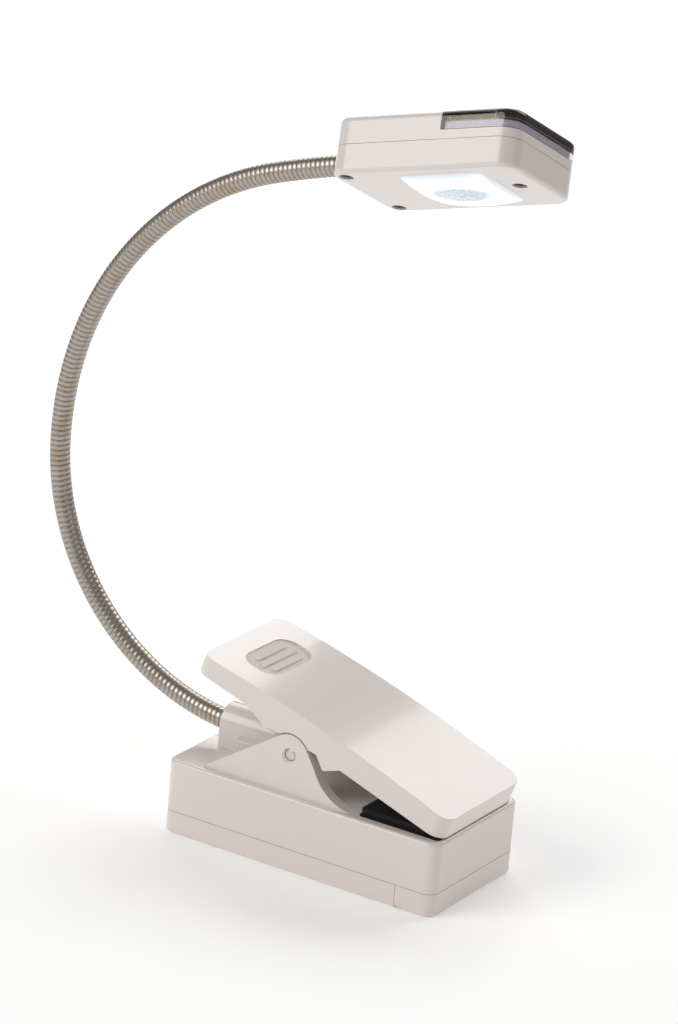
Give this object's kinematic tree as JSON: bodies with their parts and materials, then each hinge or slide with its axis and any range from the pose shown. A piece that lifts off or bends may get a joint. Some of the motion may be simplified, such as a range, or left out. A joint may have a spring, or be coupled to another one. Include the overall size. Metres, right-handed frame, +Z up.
{
  "type": "clip on reading lamp",
  "caption": "Clip-on reading lamp: sprung clamp base holding dry cells, bendable wound-steel neck and a slim rounded head with a square lens and smoked window.",
  "frame": {"origin": "centre of the base's flat underside", "axes": "+X towards the jaw end, -X towards the neck, +Y across the width, +Z up"},
  "size_m": [0.1294, 0.038, 0.1893],
  "materials": {
    "shell": "glossy off-white moulding",
    "neck_steel": "close-wound bright steel",
    "pad_rubber": "matt black",
    "bright_steel": "bright",
    "screw_steel": "black oxide",
    "cell_wrap": "wrapped can",
    "contact_brass": "bright",
    "board": "green solder mask",
    "black_plastic": "moulded",
    "lead_sheath": "red and black sheath",
    "smoked_window": "smoked clear",
    "liner": "pale lavender",
    "frosted_lens": "frosted, stippled",
    "reflector": "white",
    "led": "phosphor yellow",
    "button": "glossy"
  },
  "bodies": {
    "base": {"base_shell": "shell", "front_tray": "shell", "cells": "cell_wrap", "contact_springs": "bright_steel", "contact_plates": "contact_brass", "driver_board": "board", "driver_parts": "black_plastic", "base_leads": "lead_sheath", "tray_screws": "screw_steel", "socket_screws": "screw_steel", "jaw_pad": "pad_rubber", "hinge_pin": "bright_steel", "clamp_spring": "bright_steel", "neck_socket": "shell", "neck_root": "neck_steel"},
    "battery_cover": {"battery_cover": "shell"},
    "lever": {"clamp_lever": "shell", "lever_pad": "pad_rubber"},
    "link_01": {"neck_link_01": "neck_steel"},
    "link_02": {"neck_link_02": "neck_steel"},
    "link_03": {"neck_link_03": "neck_steel"},
    "link_04": {"neck_link_04": "neck_steel"},
    "link_05": {"neck_link_05": "neck_steel"},
    "link_06": {"neck_link_06": "neck_steel"},
    "link_07": {"neck_link_07": "neck_steel"},
    "link_08": {"neck_link_08": "neck_steel"},
    "link_09": {"neck_link_09": "neck_steel"},
    "link_10": {"neck_link_10": "neck_steel"},
    "head": {"neck_tip": "neck_steel", "head_collar": "shell", "head_lower_shell": "shell", "head_upper_shell": "shell", "smoked_window": "smoked_window", "window_liner": "liner", "lens": "frosted_lens", "reflector": "reflector", "led_board": "board", "led": "led", "head_leads": "lead_sheath", "switch_body": "black_plastic", "head_screws": "screw_steel"},
    "button": {"power_button": "button"}
  },
  "joints": [
    {"name": "lever_hinge", "type": "hinge", "parent": "base", "child": "lever", "pos_m": [-0.005, 0, 0.028], "axis": [0, -1, 0], "range_deg": [0, 20], "stiffness_Nm_per_rad": 0.3, "springref_deg": -45.84, "deforming": ["clamp_spring"]},
    {"name": "cover_slide", "type": "slide", "parent": "base", "child": "battery_cover", "axis": [-1, 0, 0], "range_m": [0, 0.066]},
    {"name": "neck_bend_00", "type": "hinge", "parent": "base", "child": "link_01", "pos_m": [-0.0355, 0, 0.0241], "axis": [0, 1, 0], "range_deg": [-20, 10]},
    {"name": "neck_bend_01", "type": "hinge", "parent": "link_01", "child": "link_02", "pos_m": [-0.05517, 0, 0.03019], "axis": [-0.4602, 0, -0.8878], "range_deg": [-15, 15]},
    {"name": "neck_bend_02", "type": "hinge", "parent": "link_02", "child": "link_03", "pos_m": [-0.07148, 0, 0.04275], "axis": [0, 1, 0], "range_deg": [-20, 10]},
    {"name": "neck_bend_03", "type": "hinge", "parent": "link_03", "child": "link_04", "pos_m": [-0.08239, 0, 0.06021], "axis": [-0.9285, 0, -0.3714], "range_deg": [-15, 15]},
    {"name": "neck_bend_04", "type": "hinge", "parent": "link_04", "child": "link_05", "pos_m": [-0.08654, 0, 0.08038], "axis": [0, 1, 0], "range_deg": [-20, 10]},
    {"name": "neck_bend_05", "type": "hinge", "parent": "link_05", "child": "link_06", "pos_m": [-0.08443, 0, 0.10092], "axis": [-0.974, 0, 0.2267], "range_deg": [-15, 15]},
    {"name": "neck_bend_06", "type": "hinge", "parent": "link_06", "child": "link_07", "pos_m": [-0.07725, 0, 0.12028], "axis": [0, 1, 0], "range_deg": [-20, 10]},
    {"name": "neck_bend_07", "type": "hinge", "parent": "link_07", "child": "link_08", "pos_m": [-0.06545, 0, 0.13722], "axis": [-0.742, 0, 0.6704], "range_deg": [-15, 15]},
    {"name": "neck_bend_08", "type": "hinge", "parent": "link_08", "child": "link_09", "pos_m": [-0.04979, 0, 0.15067], "axis": [0, 1, 0], "range_deg": [-20, 10]},
    {"name": "neck_bend_09", "type": "hinge", "parent": "link_09", "child": "link_10", "pos_m": [-0.03126, 0, 0.15977], "axis": [-0.3239, 0, 0.9461], "range_deg": [-15, 15]},
    {"name": "neck_bend_10", "type": "hinge", "parent": "link_10", "child": "head", "pos_m": [-0.01143, 0, 0.1657], "axis": [0, 1, 0], "range_deg": [-20, 10]},
    {"name": "button_press", "type": "slide", "parent": "head", "child": "button", "axis": [0.2196, -0.4695, -0.8552], "range_m": [0, 0.0008], "stiffness_N_per_m": 800, "springref_m": -0.0005}
  ]
}
